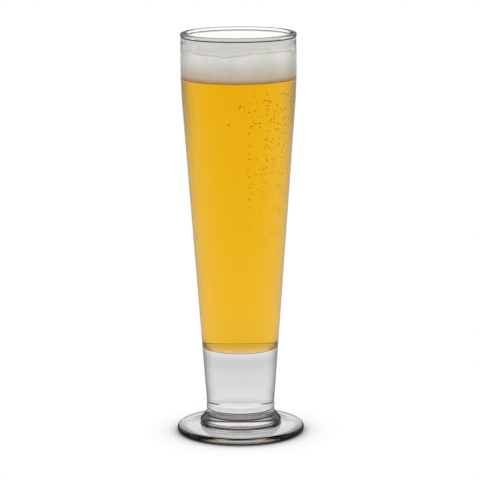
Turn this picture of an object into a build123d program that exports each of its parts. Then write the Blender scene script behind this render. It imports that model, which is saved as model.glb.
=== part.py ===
from build123d import *

import os

# A tall footed pilsner glass, filled with pale beer under a head of foam.
#
# The glass is made in two pieces of clear glass: a tapered bowl whose lower end is a
# solid shank, and a pressed round foot with a coved collar. The two are fused while
# hot, and the melt leaves a low bead around the shank just above the joint.
# All sizes are in millimetres. The axis of the glass is Z and the table is at Z = 0.

os.makedirs("parts", exist_ok=True)

# Overall
glass_height = 235.0  # table to the top of the lip

# Foot
foot_radius = 37.2
edge_thickness = 4.2  # the foot's edge is a full round of this thickness
disc_rise = 0.4  # the top of the disc climbs this much from its edge to the collar
bearing_width = 3.2  # flat ring that stands on the table, just inside the round edge
recess_depth = 1.2  # the underside is hollowed this deep at its centre

# Collar of the foot: a short neck, a cove, a cone and a rolled corner
collar_radius = 23.7
neck_height = 2.2
cone_height = 4.4
collar_wall = 3.0  # upright stretch between the rolled corner and the disc
cove_radius = 3.0
roll_radius = 2.0

# Fused joint and the bead above it
joint_radius = 19.88
bead_height = 3.8
bead_swell = 0.17  # how far the bead stands out between its two edges

# Bowl
waist_radius = 19.7  # thinnest part of the shank, at the top of the bead
base_depth = 36.5  # solid glass from the joint up to the floor of the bowl
wall = 2.15
floor_corner = 0.5  # rounding between the floor and the wall, inside
band_radius = 33.35  # straight band below the lip, outside
band_depth = 29.5  # lip down to the shoulder, where the taper starts
shoulder_radius = 270.0  # soft bend between the taper and the band
taper_bow = 0.4  # how far the long taper swells out of a straight line
lip_thickness = 2.35  # the lip is a full round bead, a little thicker than the wall
draw_height = 8.0  # just below the bead the wall is drawn thinner over this height
draw_outside = 0.2  # how far the drawn wall stands back from the band, outside
draw_inside = 0.15  # and inside

# Contents
headspace = 6.8  # lip down to the top of the foam
foam_depth = 19.5
foam_corner = 2.8  # the top of the foam rounds down to the wall
wetting_gap = 0.05  # left between the contents and the wall beside them

# Heights that follow from the sizes above
disc_top = edge_thickness + disc_rise
cone_foot = disc_top + collar_wall
cone_top = cone_foot + cone_height
joint_height = cone_top + neck_height
waist_height = joint_height + bead_height
floor_height = joint_height + base_depth
shoulder_height = glass_height - band_depth
lip_centre_height = glass_height - lip_thickness / 2
foam_top = glass_height - headspace
beer_top = foam_top - foam_depth


def bowl_outline(inset, lowest, highest, bottom_corner=0.0, top_corner=0.0):
    """Half of the bowl's outline from the axis out, moved in by inset, between two heights."""
    taper_foot = (waist_radius - inset, waist_height)
    shoulder = (band_radius - inset, shoulder_height)
    with BuildSketch(Plane.XZ) as half:
        with BuildLine():
            SagittaArc(taper_foot, shoulder, -taper_bow)
            Line(shoulder, (band_radius - inset, glass_height))
            Polyline((band_radius - inset, glass_height), (0, glass_height), (0, waist_height), taper_foot)
        make_face()
        fillet(half.vertices().sort_by_distance(shoulder)[0], radius=shoulder_radius)
        with Locations((0, lowest)):
            Rectangle(band_radius, highest - lowest, align=Align.MIN, mode=Mode.INTERSECT)
        if bottom_corner:
            fillet(half.vertices().group_by(Axis.Y)[0].sort_by(Axis.X)[-1], radius=bottom_corner)
        if top_corner:
            fillet(half.vertices().group_by(Axis.Y)[-1].sort_by(Axis.X)[-1], radius=top_corner)
    return half.sketch


# Bowl: the shank's bead, the taper and band, the hollow, the drawn wall and the round lip
glass_half = bowl_outline(0, waist_height, lip_centre_height)
hollow_half = bowl_outline(wall, floor_height, glass_height, bottom_corner=floor_corner)
with BuildPart() as bowl:
    with BuildSketch(Plane.XZ):
        with BuildLine():
            joint_edge = (joint_radius, joint_height)
            waist_edge = (waist_radius, waist_height)
            SagittaArc(joint_edge, waist_edge, -bead_swell)
            Polyline(waist_edge, (0, waist_height), (0, joint_height), joint_edge)
        make_face()
    revolve(axis=Axis.Z)
    add(glass_half)
    revolve(axis=Axis.Z)
    add(hollow_half)
    revolve(axis=Axis.Z, mode=Mode.SUBTRACT)
    for face_radius, depth in ((band_radius, draw_outside), (band_radius - wall, -draw_inside)):
        with BuildSketch(Plane.XZ):
            with BuildLine():
                draw_foot = (face_radius, lip_centre_height - draw_height)
                draw_head = (face_radius, lip_centre_height)
                clear_radius = face_radius + (wall / 4 if depth > 0 else -wall / 4)
                SagittaArc(draw_foot, draw_head, depth)
                Polyline(draw_head, (clear_radius, draw_head[1]), (clear_radius, draw_foot[1]), draw_foot)
            make_face()
        revolve(axis=Axis.Z, mode=Mode.SUBTRACT)
    with BuildSketch(Plane.XZ):
        with Locations((band_radius - wall / 2, lip_centre_height)):
            Circle(lip_thickness / 2)
    revolve(axis=Axis.Z)
bowl.part.label = "bowl"

# Foot: a disc with a full round edge and a hollowed underside, rising to the collar
edge_round = edge_thickness / 2
bearing_inside = foot_radius - edge_round - bearing_width
with BuildPart() as foot:
    with BuildSketch(Plane.XZ):
        with BuildLine():
            Line((0, recess_depth), (0, joint_height))
            Line((0, joint_height), (joint_radius, joint_height))
            FilletPolyline(
                (joint_radius, joint_height),
                (joint_radius, cone_top),
                (collar_radius, cone_foot),
                (collar_radius, disc_top),
                radius=(cove_radius, roll_radius),
            )
            Line((collar_radius, disc_top), (foot_radius - edge_round, edge_thickness))
            ThreePointArc(
                (foot_radius - edge_round, edge_thickness),
                (foot_radius, edge_round),
                (foot_radius - edge_round, 0),
            )
            Line((foot_radius - edge_round, 0), (bearing_inside, 0))
            TangentArc((0, recess_depth), (bearing_inside, 0), tangent=(1, 0))
        make_face()
    revolve(axis=Axis.Z)
foot.part.label = "foot"

# Beer: the hollow's outline up to the beer's surface
beer_half = bowl_outline(wall + wetting_gap, floor_height, beer_top, bottom_corner=floor_corner)
with BuildPart() as beer:
    add(beer_half)
    revolve(axis=Axis.Z)
beer.part.label = "beer"

# Foam: what stands on the beer, with its top edge rounded down to the wall
foam_half = bowl_outline(wall + wetting_gap, beer_top, foam_top, top_corner=foam_corner)
with BuildPart() as foam_head:
    add(foam_half)
    revolve(axis=Axis.Z)
foam_head.part.label = "foam_head"

for piece in (bowl, foot, beer, foam_head):
    export_step(piece.part, f"parts/{piece.part.label}.step")

millilitre = 1000.0
for content in (beer, foam_head):
    print(f"{content.part.label} {content.part.volume / millilitre:.0f} ml")
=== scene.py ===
"""The looks of a tall footed pilsner glass of pale beer: clear glass, beer, foam and bubbles.

Every piece but the bubbles is turned about the Z axis from an outline. Lengths are in
millimetres where nothing else is said, and MM turns them to the metres of the scene."""

import math
import random

import bmesh
import bpy
from mathutils import Matrix, Vector, noise


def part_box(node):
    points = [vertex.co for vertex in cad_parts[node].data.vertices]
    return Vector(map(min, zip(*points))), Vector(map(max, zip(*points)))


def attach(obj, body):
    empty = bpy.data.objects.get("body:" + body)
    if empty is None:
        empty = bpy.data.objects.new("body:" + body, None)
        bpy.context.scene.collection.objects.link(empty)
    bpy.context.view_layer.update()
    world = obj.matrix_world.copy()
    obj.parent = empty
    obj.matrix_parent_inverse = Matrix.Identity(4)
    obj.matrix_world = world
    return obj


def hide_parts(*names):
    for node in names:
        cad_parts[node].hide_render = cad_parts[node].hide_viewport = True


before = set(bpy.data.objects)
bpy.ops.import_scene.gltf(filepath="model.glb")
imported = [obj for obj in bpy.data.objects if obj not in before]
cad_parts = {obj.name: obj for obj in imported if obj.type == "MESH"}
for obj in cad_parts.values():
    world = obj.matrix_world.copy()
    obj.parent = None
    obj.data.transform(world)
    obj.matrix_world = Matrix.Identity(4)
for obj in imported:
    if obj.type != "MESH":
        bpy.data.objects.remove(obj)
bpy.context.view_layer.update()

MM = 0.001
NEAR = 0.001  # points closer than this are one point

# Sizes read from the frame
bowl_low, bowl_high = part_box("bowl")
_, foot_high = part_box("foot")
beer_low, beer_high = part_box("beer")
_, foam_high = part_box("foam_head")
glass_height = bowl_high[2] / MM
joint_height = bowl_low[2] / MM
lip_radius = bowl_high[0] / MM
foot_radius = foot_high[0] / MM
floor_height = beer_low[2] / MM
beer_top = beer_high[2] / MM
foam_top = foam_high[2] / MM

# Lip, and the wall just below it, which is drawn thinner
wall = 2.15
lip_thickness = 2.35
lip_centre = glass_height - lip_thickness / 2
lip_crease_low = lip_centre - 1.4  # the crease outside, between the drawn wall and the lip
lip_crease_high = lip_centre - 0.65
lip_step_low = lip_centre - 1.15  # the smaller step inside
lip_step_high = lip_centre - 0.9
band_radius = lip_radius - (lip_thickness - wall) / 2
band_top = lip_centre - 8.0
drawn_outside = band_radius - 0.2
drawn_inside = band_radius - wall + 0.15
drawn_height = lip_centre - 3.2
draw_start_rounding = 30.0
draw_end_rounding = 25.0

# Band, taper and floor of the bowl
shoulder_height = glass_height - 29.5
shoulder_rounding = 270.0
taper_bow = 0.4
bow_rounding = 9800.0
floor_rounding = 0.5

# Shank, with the bead that the melt left above the joint
joint_radius = 19.88
crease = 0.15  # how deep the joint lies in the crease around it
crease_top_radius = joint_radius + 0.03
crease_rise = 0.7
bead_radius = 20.0
bead_rounding = 12.0
waist_radius = 19.7
waist_height = joint_height + 3.8
waist_rounding = 0.8

# Foot
edge_thickness = 4.2
disc_top = 4.6
cone_foot = 7.6
cone_top = 12.0
collar_radius = 23.7
cove_rounding = 3.0
roll_rounding = 2.0
bearing_inside = foot_radius - edge_thickness / 2 - 3.2
bearing_rounding = 1.0
recess_depth = 1.2

# Roundings that many corners share
crisp = 0.3
sharp = 0.1
full_round = 0.99  # share of a half round, so that its two corners don't quite meet

# Where the taper's inside would meet the floor of the bowl
climb = (floor_height - waist_height) / (shoulder_height - waist_height)
taper_reach = (band_radius - waist_radius) * climb
floor_radius = waist_radius + taper_reach + 4 * taper_bow * climb * (1 - climb) - wall

# How high the foam clings to the wall, by degrees around from the front, anticlockwise from above
FOAM_LINE = (
    (-180, 0.4),
    (-140, 1.2),
    (-110, 1.6),
    (-83, 1.5),
    (-59, 0.8),
    (-43, -0.3),
    (-27, -0.5),
    (-15, -1.5),
    (0, -0.2),
    (20, 0.6),
    (40, 0.9),
    (56, 0.6),
    (72, 0.2),
    (100, 1.5),
    (130, 1.7),
    (155, 0.6),
    (180, 0.4),
)

TURN_STEPS = 240
ARC_STEP = math.radians(6)
CRISP_EDGE = math.radians(35)

CLEAR = "#FFFFFF"
RINGS_REACH = 60.0  # the highest that a ring painted on glass may lie
SCATTERED_LIGHT = 0.9  # strength of room and table as light on matt surfaces


# ---------------------------------------------------------------- shaping


def turned(outline):
    """A closed piece turned about the Z axis. Each corner of its outline, from the axis back
    to the axis, is a radius, a height and how much the corner is rounded."""
    bm = bmesh.new()
    corners = [bm.verts.new((radius * MM, 0, height * MM)) for radius, height, _ in outline]
    for start, end in zip(corners, corners[1:]):
        bm.edges.new((start, end))
    places = [corner.co.copy() for corner in corners]
    for i, (_, _, rounding) in enumerate(outline):
        if not rounding:
            continue
        turn = (places[i] - places[i - 1]).angle(places[i + 1] - places[i])
        bmesh.ops.bevel(
            bm,
            geom=[corners[i]],
            offset=rounding * MM * math.tan(turn / 2),
            offset_type="OFFSET",
            segments=max(3, round(turn / ARC_STEP)),
            profile=0.5,
            affect="VERTICES",
            material=-1,
        )
    bmesh.ops.spin(
        bm,
        geom=bm.verts[:] + bm.edges[:],
        cent=(0, 0, 0),
        axis=(0, 0, 1),
        dvec=(0, 0, 0),
        angle=2 * math.pi,
        steps=TURN_STEPS,
        use_merge=True,
        use_normal_flip=False,
        use_duplicate=False,
    )
    bmesh.ops.remove_doubles(bm, verts=bm.verts, dist=NEAR * MM)
    bmesh.ops.recalc_face_normals(bm, faces=bm.faces)
    return bm


def finished(name, bm, *materials):
    """An object made of a mesh, in the scene, smooth-shaded except across its crisp edges."""
    for face in bm.faces:
        face.smooth = True
    for edge in bm.edges:
        edge.smooth = edge.calc_face_angle(0) < CRISP_EDGE
    mesh = bpy.data.meshes.new(name)
    bm.to_mesh(mesh)
    bm.free()
    for material in materials:
        mesh.materials.append(material)
    piece = bpy.data.objects.new(name, mesh)
    bpy.context.scene.collection.objects.link(piece)
    even = piece.modifiers.new("even_shading", "WEIGHTED_NORMAL")
    even.mode = "FACE_AREA"
    even.keep_sharp = True
    return piece


# ---------------------------------------------------------------- materials


def colour(code):
    """The linear colour of an sRGB hex code, with full alpha."""
    parts = [int(code[i : i + 2], 16) / 255 for i in (1, 3, 5)]
    return [p / 12.92 if p <= 0.04045 else ((p + 0.055) / 1.055) ** 2.4 for p in parts] + [1.0]


def add(tree, kind, sockets=None, stops=(), **settings):
    """Adds a node, sets what it is given, and fills its sockets with values or with links.
    A ramp's stops are pairs of a position and a hex code, in order."""
    made = tree.nodes.new(kind)
    if stops:
        ramp = made.color_ramp.elements
        ramp[0].position, ramp[0].color = stops[0][0], colour(stops[0][1])
        ramp[-1].position, ramp[-1].color = stops[-1][0], colour(stops[-1][1])
        for position, code in stops[1:-1]:
            ramp.new(position).color = colour(code)
    for name, value in settings.items():
        setattr(made, name, value)
    for name, value in (sockets or {}).items():
        if isinstance(value, bpy.types.NodeSocket):
            tree.links.new(value, made.inputs[name])
        else:
            made.inputs[name].default_value = value
    return made


def along(tree, length, reach, levels):
    """A colour that changes along a length of the piece, such as its height. The levels are
    pairs of a length and a hex code, and none is longer than reach."""
    share = add(tree, "ShaderNodeMapRange", {"Value": length, "From Max": reach * MM})
    ramp = add(
        tree,
        "ShaderNodeValToRGB",
        {"Fac": share.outputs[0]},
        stops=[(level / reach, code) for level, code in levels],
    )
    return ramp.outputs["Color"]


def material(name):
    """An empty node material with its output."""
    made = bpy.data.materials.new(name)
    made.use_nodes = True
    made.node_tree.nodes.clear()
    return made, made.node_tree, made.node_tree.nodes.new("ShaderNodeOutputMaterial")


def let_lamps_through(tree, output, shader, tint):
    """Shows a shader, but lets light on its way to foam or floor pass straight through."""
    path = add(tree, "ShaderNodeLightPath")
    passing = add(
        tree,
        "ShaderNodeMath",
        {0: path.outputs["Is Shadow Ray"], 1: path.outputs["Is Diffuse Ray"]},
        operation="MAXIMUM",
    )
    clear = add(tree, "ShaderNodeBsdfTransparent", {"Color": tint})
    mixed = add(
        tree, "ShaderNodeMixShader", {0: passing.outputs[0], 1: shader, 2: clear.outputs[0]}
    )
    tree.links.new(mixed.outputs[0], output.inputs["Surface"])


def clear_soda_glass(name, reflection, painted_edge_shade=(), rings=(), painted_backlight=()):
    """Clear soda-lime glass, blown or pressed and then smoothed by fire, so it is flawless to
    look through and shows by its edges and creases alone.

    reflection: how much of the room its surface mirrors.
    painted_edge_shade: grey painted into its colour where it turns away from the eye, as the
    dark room that thick edges bend into view.
    rings: by height, painted dark lines where a crease or a tight curve does the same all the way
    round, and the faint grey of the thick shank.
    painted_backlight: by height, how much of the painted grey at the edges is taken back as
    painted light from what is behind them."""
    made, tree, output = material(name)
    glass = add(
        tree,
        "ShaderNodeBsdfPrincipled",
        {
            "Base Color": (1, 1, 1, 1),
            "Roughness": 0.0,
            "IOR": 1.52,
            "Transmission Weight": 1.0,
            "Specular Tint": colour(reflection),
        },
    )
    if painted_edge_shade:
        # Painted shade: the glass's colour turns grey as it turns away from the eye
        facing = add(tree, "ShaderNodeLayerWeight", {"Blend": 0.5}).outputs["Facing"]
        shade = add(tree, "ShaderNodeValToRGB", {"Fac": facing}, stops=painted_edge_shade)
        tint = shade.outputs["Color"]
        place = add(tree, "ShaderNodeTexCoord").outputs["Object"]
        height = add(tree, "ShaderNodeSeparateXYZ", {0: place}).outputs["Z"]
        # Painted light: by height, the painted grey is taken back where something bright lies
        # behind
        if painted_backlight:
            lit = along(tree, height, glass_height, painted_backlight)
            eased = add(
                tree, "ShaderNodeMix", {0: lit, 6: tint, 7: (1, 1, 1, 1)}, data_type="RGBA"
            )
            tint = eased.outputs[2]
        # Painted dark rings by height, multiplied into the painted edge grey
        if rings:
            both = add(
                tree,
                "ShaderNodeMix",
                {0: 1.0, 6: tint, 7: along(tree, height, RINGS_REACH, rings)},
                data_type="RGBA",
                blend_type="MULTIPLY",
            )
            tint = both.outputs[2]
        tree.links.new(tint, glass.inputs["Base Color"])
    let_lamps_through(tree, output, glass.outputs[0], colour("#FBFBFA"))
    return made


def fused_joint():
    """Where bowl and foot were melted together there is no surface left to see."""
    made, tree, output = material("fused_joint")
    through = add(tree, "ShaderNodeBsdfTransparent", {"Color": (1, 1, 1, 1)})
    tree.links.new(through.outputs[0], output.inputs["Surface"])
    return made


def pale_lager():
    """Filtered lager: clear, and the deeper the more golden, because it absorbs blue and green.
    It wets the glass, so there is no reflection where the two meet."""
    made, tree, output = material("pale_lager")
    beer = add(
        tree,
        "ShaderNodeBsdfPrincipled",
        {
            "Base Color": colour("#F9D3EC"),
            "Roughness": 0.0,
            "IOR": 1.34,
            "Transmission Weight": 1.0,
            "Specular Tint": colour("#000000"),
        },
    )
    let_lamps_through(tree, output, beer.outputs[0], (1, 1, 1, 1))
    depth = add(
        tree, "ShaderNodeVolumeAbsorption", {"Color": colour("#FCF649"), "Density": 90.0}
    )
    tree.links.new(depth.outputs[0], output.inputs["Volume"])
    return made


def carbon_dioxide():
    """A bubble of gas in beer, painted golden in the middle and painted brown at its rim by how far
    it turns from the eye, standing in for the light that tries to leave the beer and is turned
    back."""
    made, tree, output = material("carbon_dioxide")
    # Painted shade: golden where the bubble faces the eye, brown towards its rim
    facing = add(tree, "ShaderNodeLayerWeight", {"Blend": 0.5}).outputs["Facing"]
    rim = add(
        tree,
        "ShaderNodeValToRGB",
        {"Fac": facing},
        stops=((0.02, "#C89C48"), (0.2, "#86601E"), (1.0, "#4A300C")),
    )
    gas = add(
        tree,
        "ShaderNodeBsdfPrincipled",
        {
            "Base Color": rim.outputs["Color"],
            "Roughness": 0.0,
            "IOR": 1.01,
            "Transmission Weight": 1.0,
        },
    )
    let_lamps_through(tree, output, gas.outputs[0], (1, 1, 1, 1))
    return made


def beer_foam():
    """Dense white foam of small bubbles: matt, soft in its relief, and the nearer the beer the
    more it is tinted by what still drains through it."""
    made, tree, output = material("beer_foam")
    place = add(tree, "ShaderNodeTexCoord").outputs["Object"]
    height = add(tree, "ShaderNodeSeparateXYZ", {0: place}).outputs["Z"]
    tinted_depth = 20
    share = add(
        tree,
        "ShaderNodeMapRange",
        {"Value": height, "From Min": beer_top * MM, "From Max": (beer_top + tinted_depth) * MM},
    )
    drained = add(
        tree,
        "ShaderNodeValToRGB",
        {"Fac": share.outputs[0]},
        stops=(
            (0.012, "#A4773A"),
            (0.05, "#C8A078"),
            (0.14, "#D3C3A9"),
            (0.28, "#DBD0C1"),
            (0.43, "#E3DCD2"),
            (0.58, "#EFECE3"),
            (0.72, "#F6F4F0"),
        ),
    )
    # Coarser and finer foam lie in patches about 8 mm across: 130 to the metre
    patches = add(tree, "ShaderNodeTexNoise", {"Vector": place, "Scale": 130.0, "Detail": 2.0})
    grey = add(
        tree,
        "ShaderNodeValToRGB",
        {"Fac": patches.outputs["Fac"]},
        stops=((0.35, "#F5F6F3"), (0.65, "#FFFFFF")),
    )
    tint = add(
        tree,
        "ShaderNodeMix",
        {0: 1.0, 6: drained.outputs["Color"], 7: grey.outputs["Color"]},
        data_type="RGBA",
        blend_type="MULTIPLY",
    )
    # Bubbles about 0.9 mm across, packed against one another: 1100 to the metre
    bubbles = add(
        tree, "ShaderNodeTexVoronoi", {"Vector": place, "Scale": 1100.0}, feature="SMOOTH_F1"
    )
    relief = add(
        tree,
        "ShaderNodeBump",
        {"Height": bubbles.outputs["Distance"], "Strength": 0.35, "Distance": 0.3 * MM},
        invert=True,
    )
    foam = add(
        tree,
        "ShaderNodeBsdfPrincipled",
        {
            "Base Color": tint.outputs[2],
            "Roughness": 0.75,
            "IOR": 1.33,
            "Normal": relief.outputs["Normal"],
        },
    )
    tree.links.new(foam.outputs[0], output.inputs["Surface"])
    return made


def seen_by(tree, camera, bent, mirrored, scattered):
    """A strength for each way in which light is looked at: by the camera, through glass,
    in a reflection, or by the light that falls on matt surfaces."""
    path = add(tree, "ShaderNodeLightPath")
    strength = scattered
    for ray, value in (
        ("Is Glossy Ray", mirrored),
        ("Is Transmission Ray", bent),
        ("Is Camera Ray", camera),
    ):
        pick = add(
            tree,
            "ShaderNodeMix",
            {0: path.outputs[ray], 2: strength, 3: value},
            data_type="FLOAT",
        )
        strength = pick.outputs[0]
    return strength


def studio_table():
    """A white table top that glows, with shade painted into its glow as if lit from behind the
    glass.
    Seen straight it is white, with a painted soft contact shadow. Through the glass it is painted
    darkest below the foot's round front edge, as the shade of that edge turning light away,
    painted bright just behind the foot, and brighter again far behind the glass. Seen in a
    reflection it is painted darker near the glass."""
    made, tree, output = material("studio_table")
    # Painted contact shadow: the glow is darkened by ambient occlusion near the glass
    contact = add(tree, "ShaderNodeAmbientOcclusion", {"Distance": 22 * MM}, samples=8)
    soft = add(
        tree,
        "ShaderNodeValToRGB",
        {"Fac": contact.outputs["AO"]},
        stops=(
            (0.3, "#595959"),
            (0.57, "#A8A8A8"),
            (0.87, "#DDDDDD"),
            (0.97, "#F1F1F1"),
            (1.0, "#FFFFFF"),
        ),
    )
    place = add(tree, "ShaderNodeTexCoord").outputs["Object"]
    away = add(tree, "ShaderNodeVectorMath", {0: place}, operation="LENGTH").outputs["Value"]
    # Painted shadow and light for rays through the glass, by distance from the axis in mm: a dark
    # ring under the foot's front edge, lighter under its rear, bright behind the foot, brighter far
    # away
    painted_shade_under_front = ((31, "#D0D0D0"), (34, "#404040"), (38, "#404040"), (50, "#D8D8D8"))
    painted_shade_under_rear = ((31, "#E8E8E8"), (34, "#D0D0D0"), (38, "#D0D0D0"))
    painted_light_behind_foot = ((44, "#FAFAFA"), (70, "#FAFAFA"), (82, "#DEDEDE"))
    painted_light_further_away = ((180, "#DEDEDE"), (255, "#EEEEEE"), (310, "#F8F8F8"), (420, "#FFFFFF"))
    reach = 600
    front = along(tree, away, reach, painted_shade_under_front + painted_light_further_away)
    rear = along(tree, away, reach, painted_shade_under_rear + painted_light_behind_foot + painted_light_further_away)
    # Painted light from behind: from the front of the foot to its rear, the painted shadow under it
    # lightens
    depth = add(tree, "ShaderNodeSeparateXYZ", {0: place}).outputs["Y"]
    side = add(
        tree, "ShaderNodeMapRange", {"Value": depth, "From Min": -12 * MM, "From Max": 12 * MM}
    )
    bent = add(tree, "ShaderNodeMix", {0: side.outputs[0], 6: front, 7: rear}, data_type="RGBA")
    # Painted shade in reflections: the table mirrored near the glass is darker
    mirrored = add(
        tree,
        "ShaderNodeMapRange",
        {
            "Value": away,
            "From Min": 60 * MM,
            "From Max": 250 * MM,
            "To Min": 0.12,
            "To Max": 0.5,
        },
    )
    # The table glows; its contact shadow and the painted light and shade above are all in this glow
    glow = add(
        tree,
        "ShaderNodeEmission",
        {
            "Color": (1, 1, 1, 1),
            "Strength": seen_by(
                tree, soft.outputs[0], bent.outputs[2], mirrored.outputs[0], SCATTERED_LIGHT
            ),
        },
    )
    tree.links.new(glow.outputs[0], output.inputs["Surface"])
    return made


# ---------------------------------------------------------------- pieces


def taper(inset):
    """The corner in the middle of the taper, rounded so much that the whole taper bows a little."""
    middle = (waist_radius + band_radius) / 2 + 2 * taper_bow - inset
    return (middle, (waist_height + shoulder_height) / 2, bow_rounding)


def wall_middle(height):
    """The radius about half way through the wall of the bowl, at a height."""
    share = min(1.0, (height - waist_height) / (shoulder_height - waist_height))
    return waist_radius + (band_radius - waist_radius) * share - wall / 2


def bowl_zone(face):
    """Which of the bowl's materials a face has, by where it lies and which way it faces."""
    middle = face.calc_center_median() / MM
    inside = middle.xy.length < wall_middle(middle.z)
    looks_up = face.normal.z > 0.8
    looks_down = face.normal.z < -0.2
    # Every zone but the joint and the wetted wall gets glass with painted shade at its edges
    if abs(middle.z - joint_height) < NEAR:
        return "joint"
    if inside and floor_height - 0.01 < middle.z < beer_top:
        return "wetted"
    if joint_height < middle.z < joint_height + crease_rise:
        return "joint_crease"
    if lip_crease_low < middle.z < lip_crease_high and looks_down and not inside:
        return "lip_crease"
    if middle.z > lip_centre and looks_up:
        return "crown"
    if middle.z > lip_crease_low:
        return "lip"
    return "blown"


def make_bowl(glasses):
    """The bowl with its solid shank. The glasses are its materials by the names of its zones."""
    lip_rounding = lip_thickness / 2 * full_round
    lip_inside = lip_radius - lip_thickness
    band_inside = band_radius - wall
    outline = [
        (0, joint_height, 0),
        (joint_radius - crease, joint_height, 0),
        (crease_top_radius, joint_height + crease_rise, crisp),
        (bead_radius, (joint_height + waist_height) / 2, bead_rounding),
        (waist_radius, waist_height, waist_rounding),
        taper(0),
        (band_radius, shoulder_height, shoulder_rounding),
        (band_radius, band_top, draw_start_rounding),
        (drawn_outside, drawn_height, draw_end_rounding),
        (drawn_outside, lip_crease_low, crisp),
        (lip_radius, lip_crease_high, crisp),
        (lip_radius, glass_height, lip_rounding),
        (lip_inside, glass_height, lip_rounding),
        (lip_inside, lip_step_high, sharp),
        (drawn_inside, lip_step_low, sharp),
        (drawn_inside, drawn_height, draw_end_rounding),
        (band_inside, band_top, draw_start_rounding),
        (band_inside, shoulder_height, shoulder_rounding),
        taper(wall),
        (floor_radius, floor_height, floor_rounding),
        (0, floor_height, 0),
    ]
    bm = turned(outline)
    # A seam in the mesh at the beer's surface, where the wetted wall ends
    bmesh.ops.bisect_plane(
        bm,
        geom=bm.verts[:] + bm.edges[:] + bm.faces[:],
        dist=NEAR * MM,
        plane_co=(0, 0, beer_top * MM),
        plane_no=(0, 0, 1),
    )
    zones = list(glasses)
    for face in bm.faces:
        face.material_index = zones.index(bowl_zone(face))
    return finished("bowl_glass", bm, *glasses.values())


def make_foot(glasses):
    """The pressed foot with its coved collar. The glasses are its materials by name."""
    edge_rounding = edge_thickness / 2 * full_round
    outline = [
        (0, joint_height, 0),
        (joint_radius - crease, joint_height, 0),
        (joint_radius, joint_height - crease, sharp),
        (joint_radius, cone_top, cove_rounding),
        (collar_radius, cone_foot, roll_rounding),
        (collar_radius, disc_top, crisp),
        (foot_radius, edge_thickness, edge_rounding),
        (foot_radius, 0, edge_rounding),
        (bearing_inside, 0, bearing_rounding),
    ]
    # The hollowed underside is a shallow arc that is level at the axis
    recess_arc = (bearing_inside**2 + recess_depth**2) / (2 * recess_depth)
    steps = 10
    for i in range(1, steps + 1):
        radius = bearing_inside * (1 - i / steps)
        height = recess_depth - recess_arc + math.sqrt(recess_arc**2 - radius**2)
        outline.append((radius, height, 0))
    bm = turned(outline)
    zones = list(glasses)
    for face in bm.faces:
        # Level faces get plain glass; the rest get pressed glass with painted edge shade and rings
        level = abs(face.normal.z) > 0.85
        at_joint = abs(face.calc_center_median().z / MM - joint_height) < NEAR
        zone = "joint" if at_joint else "flat" if level else "pressed"
        face.material_index = zones.index(zone)
    return finished("foot_glass", bm, *glasses.values())


def make_beer(lager):
    """The beer. It reaches a little into the glass and the foam, because it wets them."""
    grip = 0.1
    wall_radius = band_radius - wall + grip
    surface = beer_top + 0.2
    outline = [
        (0, floor_height - grip, 0),
        (floor_radius + grip, floor_height - grip, floor_rounding),
        taper(wall - grip),
        (wall_radius, shoulder_height, 0),
        (wall_radius, surface, 0),
        (0, surface, 0),
    ]
    return finished("beer_body", turned(outline), lager)


def ease(value, low, high):
    """0 below low, 1 above high, and a smooth step between them."""
    share = min(1.0, max(0.0, (value - low) / (high - low)))
    return share * share * (3 - 2 * share)


def foam_rise(place):
    """How far the foam stands above its mean height at a place: it clings to the wall a little
    higher or lower all the way round, and bubbles roughen its top."""
    angle = math.degrees(math.atan2(place.x, -place.y))
    radius, height = place.xy.length / MM, place.z / MM
    for (start, low), (end, high) in zip(FOAM_LINE, FOAM_LINE[1:]):
        if start <= angle <= end:
            line = low + (high - low) * ease(angle, start, end)
    inner = band_radius - wall
    near_wall = ease(radius, inner - 10, inner - 3)
    upper_half = ease(height, beer_top + 8, beer_top + 16)
    near_top = ease(height, beer_top + 14, foam_top - 2)
    coarse = noise.noise(place / (4 * MM))
    fine = noise.noise(place / (1.4 * MM))
    rough = 0.35 * coarse + 0.2 * fine
    return line * upper_half * near_wall + rough * near_top


def make_foam(foam):
    """The head of foam: a turned block with a fine groove where it lets go of the wall, and
    with rings enough for foam_rise to raise and lower it."""
    grip = 0.06
    wall_radius = band_radius - wall + grip
    mean_top = foam_top - 0.4
    last_ring = foam_top - 3.4
    corner = 2.8
    outline = [(0, beer_top, 0), (wall_radius, beer_top, 0)]
    side_rings = 12
    for i in range(1, side_rings):
        outline.append((wall_radius, beer_top + (last_ring - beer_top) * i / side_rings, 0))
    contact = mean_top - corner  # the highest that it touches the wall
    groove_radius = wall_radius - 0.7
    outline += [
        (wall_radius, contact, 0),
        (groove_radius, contact + 0.1, 0),
        (groove_radius, contact + 0.5, 0),
        (wall_radius - 0.12, contact + 0.65, 0),
        (wall_radius - 0.1, mean_top, corner - 0.8),
    ]
    top_radius = wall_radius - 4
    top_rings = 40
    for i in range(1, top_rings + 1):
        outline.append((top_radius * (1 - i / top_rings), mean_top, 0))
    bm = turned(outline)
    for vert in bm.verts:
        vert.co.z += foam_rise(vert.co) * MM
    return finished("foam_cap", bm, foam)


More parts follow.
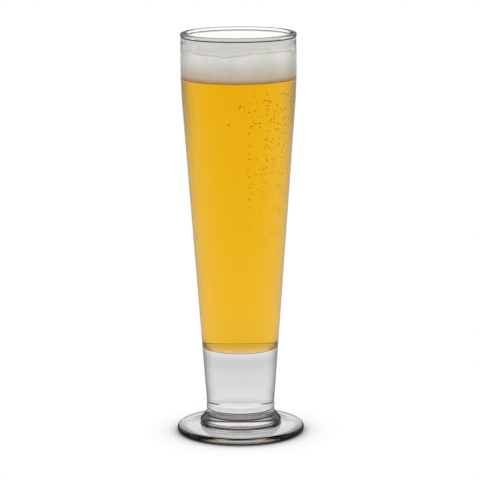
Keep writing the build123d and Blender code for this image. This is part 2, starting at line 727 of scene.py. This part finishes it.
def make_bubbles(gas):
    """Small bubbles of gas: some cling to the wall, most of them where the glass is scratched,
    and others rise in chains and grow on their way up. Each is an angle in degrees, as in
    FOAM_LINE, a height, and how deep in the beer its centre is."""
    chance = random.Random(5)
    clinging, rising = 0.5, 2.5
    bubbles = []
    for _ in range(150):
        scratch = chance.gauss(48, 18)
        bubbles.append((scratch, 203 - abs(chance.gauss(0, 36)), clinging))
    for _ in range(90):
        anywhere = chance.uniform(0, 360)
        bubbles.append((anywhere, 205 - abs(chance.gauss(0, 50)), clinging))
    for chain in (33, 62, 172, 290):
        level = chance.uniform(90, 120)
        while level < beer_top - 4:
            bubbles.append((chain + chance.gauss(0, 1.2), level, rising))
            level += chance.uniform(3.0, 8.0)
    lowest = floor_height + 8
    bm = bmesh.new()
    for angle, level, depth in bubbles:
        level = max(level, lowest)
        risen = (level - floor_height) / (beer_top - floor_height)
        size = (0.2 + 0.09 * risen) * chance.uniform(0.75, 1.25)
        # Round beer is a strong lens, and would draw a bubble here out into a dash
        if 15 < abs(angle - 180) < 36:
            continue
        radius = wall_middle(level) - wall / 2 - depth
        turn = math.radians(angle)
        centre = Vector((radius * math.sin(turn), -radius * math.cos(turn), level)) * MM
        bmesh.ops.create_uvsphere(
            bm, u_segments=8, v_segments=5, radius=size * MM, matrix=Matrix.Translation(centre)
        )
    return finished("gas_bubbles", bm, gas)


joint = fused_joint()
bowl_glasses = {
    "blown": clear_soda_glass(
        "blown_glass",
        reflection="#202020",
        # Painted shade: grey at the edges, darkest where the glass turns furthest from the eye
        painted_edge_shade=(
            (0.35, CLEAR),
            (0.5, "#E1E1E1"),
            (0.6, "#BDBDBD"),
            (0.72, "#959595"),
            (1.0, "#313131"),
        ),
        # A painted soft grey line above the bead, and the grey of the thick shank below the beer
        rings=(
            (14.9, CLEAR),
            (16.0, "#DCDCDC"),
            (17.2, "#DCDCDC"),
            (18.8, CLEAR),
            (26.0, CLEAR),
            (36.0, "#EBEBEB"),
            (43.0, "#D4D4D4"),
            (46.0, "#D4D4D4"),
            (51.4, CLEAR),
        ),
        # Painted light: the painted edge grey is taken back where the beer lights the glass from
        # behind, less towards its surface, and again where the foam does
        painted_backlight=(
            (50, "#000000"),
            (60, "#F0F0F0"),
            (130, "#F0F0F0"),
            (165, "#D8D8D8"),
            (195, "#505050"),
            (207, "#303030"),
            (212, "#BCBCBC"),
            (221, "#BCBCBC"),
            (227, "#000000"),
        ),
    ),
    "joint": joint,
    "wetted": clear_soda_glass("beer_wetted_glass", reflection="#000000"),
    # The lip and its crown: painted shade, near black where they turn away from the eye
    "lip": clear_soda_glass(
        "fire_polished_lip",
        reflection="#FFFFFF",
        painted_edge_shade=((0.6, CLEAR), (0.7, "#303030"), (0.8, "#080808"), (1.0, "#010101")),
    ),
    "crown": clear_soda_glass(
        "crown_of_lip",
        reflection="#FFFFFF",
        painted_edge_shade=((0.28, CLEAR), (0.4, "#404040"), (0.55, "#080808"), (1.0, "#010101")),
    ),
    # Painted shade: dark lines on the creases under the lip and over the joint, where they turn
    # from the eye
    "lip_crease": clear_soda_glass(
        "painted_shade_under_lip",
        reflection="#404040",
        painted_edge_shade=((0.045, CLEAR), (0.085, "#505050"), (0.3, "#181818"), (1.0, "#080808")),
    ),
    "joint_crease": clear_soda_glass(
        "painted_shade_over_joint",
        reflection="#404040",
        painted_edge_shade=((0.06, CLEAR), (0.1, "#181818"), (0.3, "#101010"), (1.0, "#080808")),
    ),
}
foot_glasses = {
    "pressed": clear_soda_glass(
        "pressed_glass",
        reflection="#808080",
        # Painted shade: grey to near black where the foot turns away from the eye
        painted_edge_shade=(
            (0.26, CLEAR),
            (0.36, "#A8A8A8"),
            (0.44, "#383838"),
            (0.55, "#080808"),
            (1.0, "#050505"),
        ),
        # Painted shade: dark over the round edge of the disc, a painted brown line at the foot of
        # the collar, and a painted dark line in the cove
        rings=(
            (0.0, "#080808"),
            (0.9, "#080808"),
            (1.6, "#484848"),
            (2.6, "#8C8C8C"),
            (3.4, "#C8C8C8"),
            (4.0, CLEAR),
            (5.2, CLEAR),
            (5.7, "#503022"),
            (6.6, "#503022"),
            (7.1, CLEAR),
            (10.2, CLEAR),
            (10.7, "#0A0A0A"),
            (11.4, "#0A0A0A"),
            (11.9, CLEAR),
        ),
        # Painted light: the painted edge grey is cleared on the neck, where light comes down the
        # shank
        painted_backlight=((11.8, "#000000"), (12.3, "#E0E0E0"), (14.2, "#E0E0E0")),
    ),
    "joint": joint,
    "flat": clear_soda_glass("flat_pressed_glass", reflection="#FFFFFF"),
}

bowl = make_bowl(bowl_glasses)
foot = make_foot(foot_glasses)
beer = make_beer(pale_lager())
foam = make_foam(beer_foam())
bubbles = make_bubbles(carbon_dioxide())
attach(bubbles, "root")
for piece, node, slot in (
    (bowl, "bowl", "clear_glass"),
    (foot, "foot", "clear_glass"),
    (beer, "beer", "pale_beer"),
    (foam, "foam_head", "beer_foam"),
):
    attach(piece, "root")
    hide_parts(node)

# ---------------------------------------------------------------- studio

table_reach = 8.0  # metres to each side
bm = bmesh.new()
bmesh.ops.create_grid(bm, x_segments=1, y_segments=1, size=table_reach)
table = finished("studio_table", bm, studio_table())

scene = bpy.context.scene
scene.view_settings.view_transform = "Standard"

# The camera sees a white room. Glass bends and mirrors a bright wall, 9 to 48 degrees above
# the horizon, between a dark strip over the table and a dark ceiling.
world = bpy.data.worlds.new("studio")
scene.world = world
world.use_nodes = True
tree = world.node_tree
tree.nodes.clear()
direction = add(tree, "ShaderNodeTexCoord").outputs["Generated"]
up = add(tree, "ShaderNodeSeparateXYZ", {0: direction}).outputs["Z"]
bright_wall = add(
    tree,
    "ShaderNodeValToRGB",
    {"Fac": up},
    stops=[
        (math.sin(math.radians(degrees)), code)
        for degrees, code in ((5, "#202020"), (9, "#FFFFFF"), (48, "#FFFFFF"), (56, "#202020"))
    ],
).outputs[0]
background = add(
    tree,
    "ShaderNodeBackground",
    {"Strength": seen_by(tree, 1.0, bright_wall, bright_wall, SCATTERED_LIGHT)},
)
add(tree, "ShaderNodeOutputWorld", {"Surface": background.outputs[0]})

# Camera: distance from the glass's axis and height above the table, tilt and roll in degrees
camera_distance = 1430.0
camera_height = 387.2
camera_tilt = 10.82
camera_roll = 0.355
focal_pixels = 2503.0
shift_pixels = 0.4
image_pixels = 480
sensor = 36.0
lens = bpy.data.cameras.new("camera")
lens.sensor_width = sensor
lens.lens = focal_pixels * sensor / image_pixels
lens.shift_x = shift_pixels / image_pixels
lens.clip_end = 50.0
camera = bpy.data.objects.new("camera", lens)
scene.collection.objects.link(camera)
camera.matrix_world = (
    Matrix.Translation((0, -camera_distance * MM, camera_height * MM))
    @ Matrix.Rotation(math.radians(90 - camera_tilt), 4, "X")
    @ Matrix.Rotation(-math.radians(camera_roll), 4, "Z")
)
scene.camera = camera
